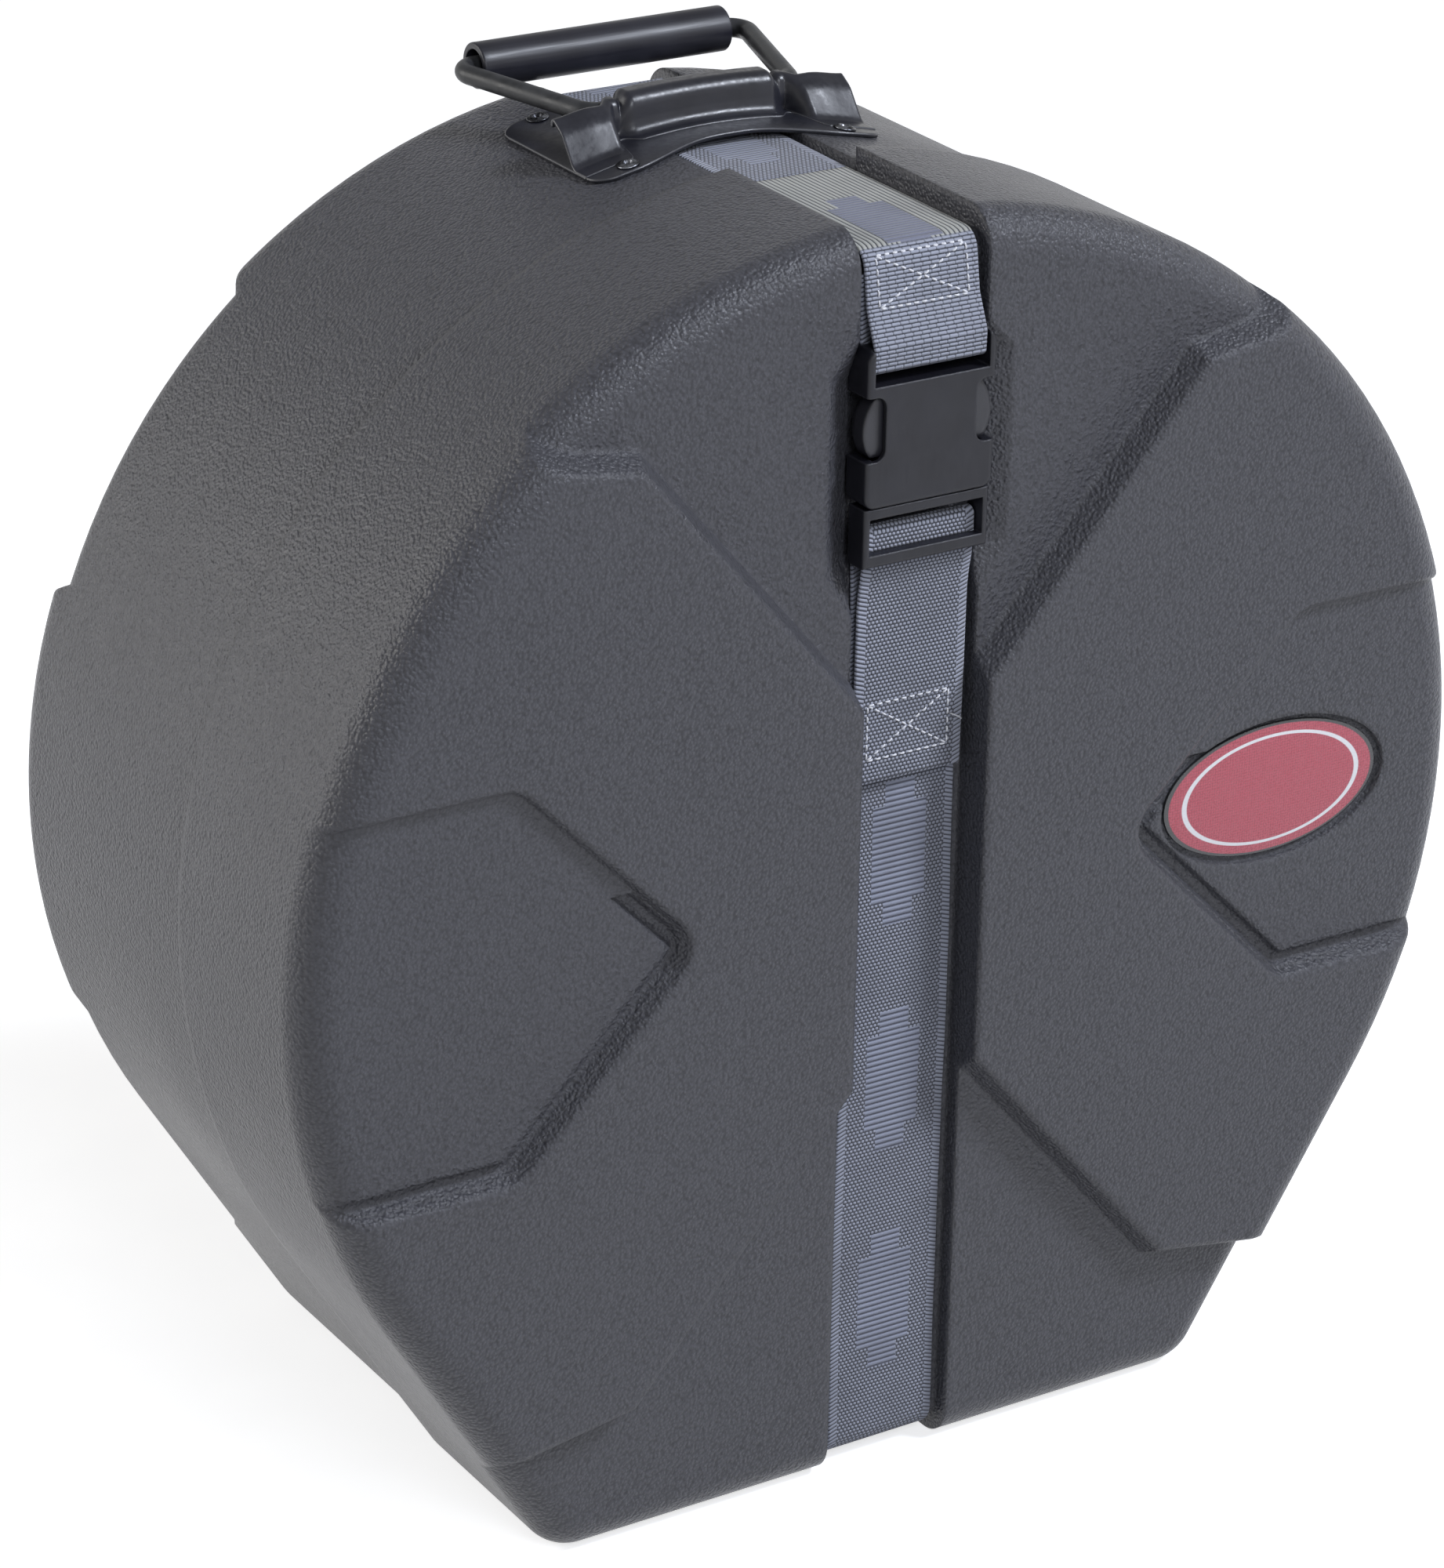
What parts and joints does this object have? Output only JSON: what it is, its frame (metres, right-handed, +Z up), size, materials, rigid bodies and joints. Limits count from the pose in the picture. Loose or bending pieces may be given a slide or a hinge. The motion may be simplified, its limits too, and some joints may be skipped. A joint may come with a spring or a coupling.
{
  "type": "drum case",
  "caption": "Round moulded drum case that stands on a flat foot, with a telescoping lid, a webbing strap with side-release buckle, and a folding carrying handle.",
  "frame": {"origin": "centre of the case's foot on the floor", "axes": "+X to the right seen from the lid, +Y from the lid to the back, +Z up"},
  "size_m": [0.474, 0.229, 0.4815],
  "materials": {
    "shell": "textured moulded polyethylene",
    "badge": "red enamel",
    "buckle": "satin moulded",
    "webbing": "woven webbing",
    "thread": "sewing thread",
    "plate": "black powder coat",
    "rod": "black coated steel",
    "grip": "smooth",
    "rivet": "black",
    "washer": "plain",
    "foam": "closed-cell foam"
  },
  "bodies": {
    "base": {"base_shell": "shell", "base_foam": "foam", "wall_foam": "foam", "handle_plate": "plate", "handle_rivets": "rivet", "rivet_washers": "washer", "strap_rear": "webbing"},
    "lid": {"lid_shell": "shell", "lid_foam": "foam", "badge_plate": "badge", "strap_upper": "webbing", "loop_stitching": "thread", "buckle_socket": "buckle", "strap_lower": "webbing"},
    "plug": {"buckle_plug": "buckle", "strap_tail": "webbing", "tail_stitching": "thread"},
    "left_arm": {"left_prong": "buckle"},
    "right_arm": {"right_prong": "buckle"},
    "handle": {"handle_rod": "rod", "handle_grip": "grip"}
  },
  "joints": [
    {"name": "lid_slide", "type": "slide", "parent": "base", "child": "lid", "axis": [0, -1, 0], "range_m": [0, 0.12]},
    {"name": "handle_hinge", "type": "hinge", "parent": "base", "child": "handle", "pos_m": [0, 0.04251, 0.4713], "axis": [1, 0, 0], "range_deg": [0, 90]},
    {"name": "plug_slide", "type": "slide", "parent": "lid", "child": "plug", "axis": [0, 0, -1], "range_m": [0, 0.045], "deforming": ["left_prong", "right_prong"]},
    {"name": "left_press", "type": "hinge", "parent": "plug", "child": "left_arm", "pos_m": [-0.0145, -0.1045, 0.3764], "axis": [0, 1, 0], "range_deg": [0, 7], "stiffness_Nm_per_rad": 0.6},
    {"name": "right_press", "type": "hinge", "parent": "plug", "child": "right_arm", "pos_m": [0.0145, -0.1045, 0.3764], "axis": [0, -1, 0], "range_deg": [0, 7], "stiffness_Nm_per_rad": 0.6}
  ]
}
